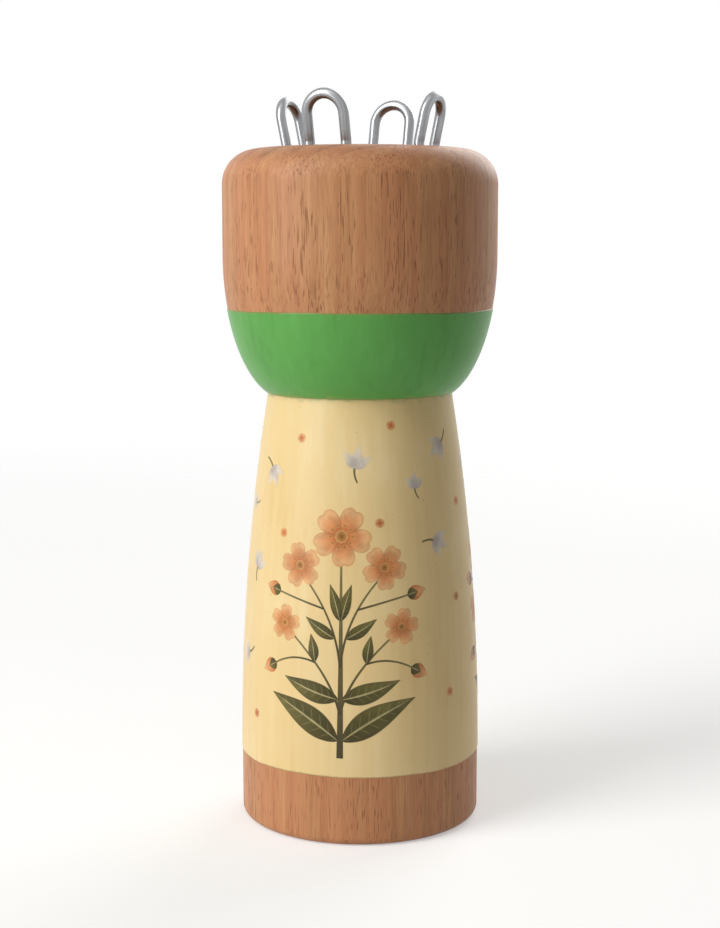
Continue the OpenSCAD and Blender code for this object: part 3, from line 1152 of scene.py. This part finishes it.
def lifted_rims():
    """Rings round every leg: circles of a section, flattened, whose size is rippled by three waves."""
    side = np.array([-hook_w / 2, hook_w / 2])
    seat = hook_seats[:, None]
    leg_x = (side * np.cos(seat) - hook_ring_r * np.sin(seat)).reshape(-1, 1, 1)
    leg_y = (side * np.sin(seat) + hook_ring_r * np.cos(seat)).reshape(-1, 1, 1)
    a = np.linspace(0, 2 * math.pi, 40, endpoint=False)[None, None]
    s = np.linspace(0, 2 * math.pi, 12, endpoint=False)[None, :, None]
    phase = 1.7 * np.arange(len(leg_x))[:, None, None]
    waves = 0.3 * np.sin(3 * a + phase) + 0.22 * np.sin(7 * a + 2.3 * phase) + 0.12 * np.sin(13 * a + phase)
    radius = wire_r + rim_gap + rim_w * (1 + waves) * np.cos(s)
    height = top_z + rim_h * (0.15 + (1 + waves) * np.sin(s))
    return np.stack(np.broadcast_arrays(
        leg_x + radius * np.cos(a), leg_y + radius * np.sin(a), height), axis=-1)


rims = lifted_rims()
count, rows, cols = rims.shape[:3]
rim_faces = copies(quads(rows, cols, True, True), count, rows * cols)
make_piece("hook_rims", rims, rim_faces, bare_wood, "bare_wood")

# %% [markdown]
# The doll stands on a plain pale floor. A white floor needs a lot of light, and that light would bleach
# the doll. So the floor is grey paper with a little glow, which only the camera and reflections see: it
# lights nothing, and the floor keeps the doll's shadow. Away from the doll it fades out.

# %% Floor
paper_grey = (0.72, 0.715, 0.705, 1.0)
paper_glow = (1.0, 0.995, 0.985, 1.0)
# A hair below the foot, so that the two surfaces don't share a place
floor_z = -0.02


def shown_rays(tree):
    """1 to the camera and in gloss and glass, and 0 to the light that falls on things."""
    ray = put(tree, "ShaderNodeLightPath").outputs
    shown = calc(tree, "MAXIMUM", ray["Is Camera Ray"], ray["Is Glossy Ray"])
    return calc(tree, "MAXIMUM", shown, ray["Is Transmission Ray"])


def build_floor(reach, clear_from, clear_to, glow):
    """A flat sheet of paper that glows a little and fades out between two distances from the doll."""
    u, v = np.meshgrid([-reach, 0, reach], [-reach, 0, reach], indexing="ij")
    points = np.stack([u, v, np.full(u.shape, floor_z)], axis=-1).reshape(-1, 3) * MM
    mesh = bpy.data.meshes.new("floor")
    mesh.from_pydata(points.tolist(), [], quads(3, 3)[:, ::-1].tolist())
    material, tree, shader, place = new_finish("floor_paper")
    shader.inputs["Base Color"].default_value = paper_grey
    shader.inputs["Roughness"].default_value = 0.9
    shader.inputs["Specular IOR Level"].default_value = 0.1
    shader.inputs["Emission Color"].default_value = paper_glow
    fill(tree, shader.inputs["Emission Strength"], calc(tree, "MULTIPLY", shown_rays(tree), glow))
    fill(tree, shader.inputs["Alpha"], step(tree, how_far(tree, place), clear_from, clear_to, 1.0, 0.0))
    mesh.materials.append(material)
    floor = bpy.data.objects.new("floor", mesh)
    bpy.context.scene.collection.objects.link(floor)
    print(f"floor: {2 * reach} mm wide, fading out from {clear_from} to {clear_to} mm away")


build_floor(reach=1400, clear_from=110, clear_to=640, glow=0.41)

# %% [markdown]
# Behind the floor there is only the world. It is white in the same way as the floor is, and a dim grey to
# everything else, which lifts the shadows a little. A bent sheet of paper could stand there instead, but
# it would hide the doll from behind.

# %% Background
def build_world(strength):
    """White to the camera and in gloss and glass, and an even grey light to everything else."""
    world = bpy.data.worlds.new("studio")
    world.use_nodes = True
    tree = world.node_tree
    background = tree.nodes["Background"]
    background.inputs["Color"].default_value = (1.0, 1.0, 1.0, 1.0)
    white = calc(tree, "MULTIPLY_ADD", shown_rays(tree), 1.0 - strength, strength)
    fill(tree, background.inputs["Strength"], white)
    bpy.context.scene.world = world


build_world(strength=0.12)
print("background:", bpy.context.scene.world.name)

# %% [markdown]
# The light is that of a small product studio: a tall soft key from the front left, a weaker lamp behind
# that lights the back, and a little light from above. A sun lamp would be simpler, but its shadows are
# hard. Large lamps close by give soft shading on round things, and their power is set so that a colour
# renders about as it is written.

# %% Lamps
def add_lamp(name, azimuth, elevation, distance, width, height, power):
    """A soft lamp that looks at the middle of the doll. Its distance and size are in metres."""
    lamp = bpy.data.lights.new(name, "AREA")
    lamp.shape = "RECTANGLE"
    lamp.energy = power
    lamp.size, lamp.size_y = width, height
    holder = bpy.data.objects.new(name, lamp)
    a, e = math.radians(azimuth), math.radians(elevation)
    way = np.array([math.sin(a) * math.cos(e), -math.cos(a) * math.cos(e), math.sin(e)])
    holder.location = way * distance + np.array([0, 0, top_z * MM / 2])
    holder.rotation_euler = (math.pi / 2 - e, 0, a)
    bpy.context.scene.collection.objects.link(holder)


add_lamp("key", azimuth=-32, elevation=28, distance=0.85, width=0.45, height=0.9, power=6.5)
add_lamp("back", azimuth=175, elevation=30, distance=1.0, width=0.7, height=0.7, power=4.4)
add_lamp("above", azimuth=-10, elevation=72, distance=0.9, width=0.6, height=0.6, power=1.0)
bpy.context.scene.view_settings.view_transform = "Standard"
print("lamps:", ", ".join(light.name for light in bpy.data.lights))

# %% [markdown]
# The photograph looks at the doll from a little to the right of its front, from just above the painted
# collar, and from close by, so that the foot's edge is curved far more than the collar's. The camera
# stands there too. A longer lens from further off would flatten those curves.

# %% Camera
view_azimuth = math.radians(25.3)
eye_distance = 300.0
eye_height = 102.0
aim_height = 63.0
camera_data = bpy.data.cameras.new("camera")
camera_data.lens = 66.0
camera = bpy.data.objects.new("camera", camera_data)
camera.location = turn(eye_distance, eye_height, view_azimuth) * MM
pitch = math.atan2(eye_height - aim_height, eye_distance)
camera.rotation_euler = (math.pi / 2 - pitch, 0, view_azimuth)
bpy.context.scene.collection.objects.link(camera)
bpy.context.scene.camera = camera
print(f"camera {eye_distance:.0f} mm away, looking down {math.degrees(pitch):.1f} degrees")
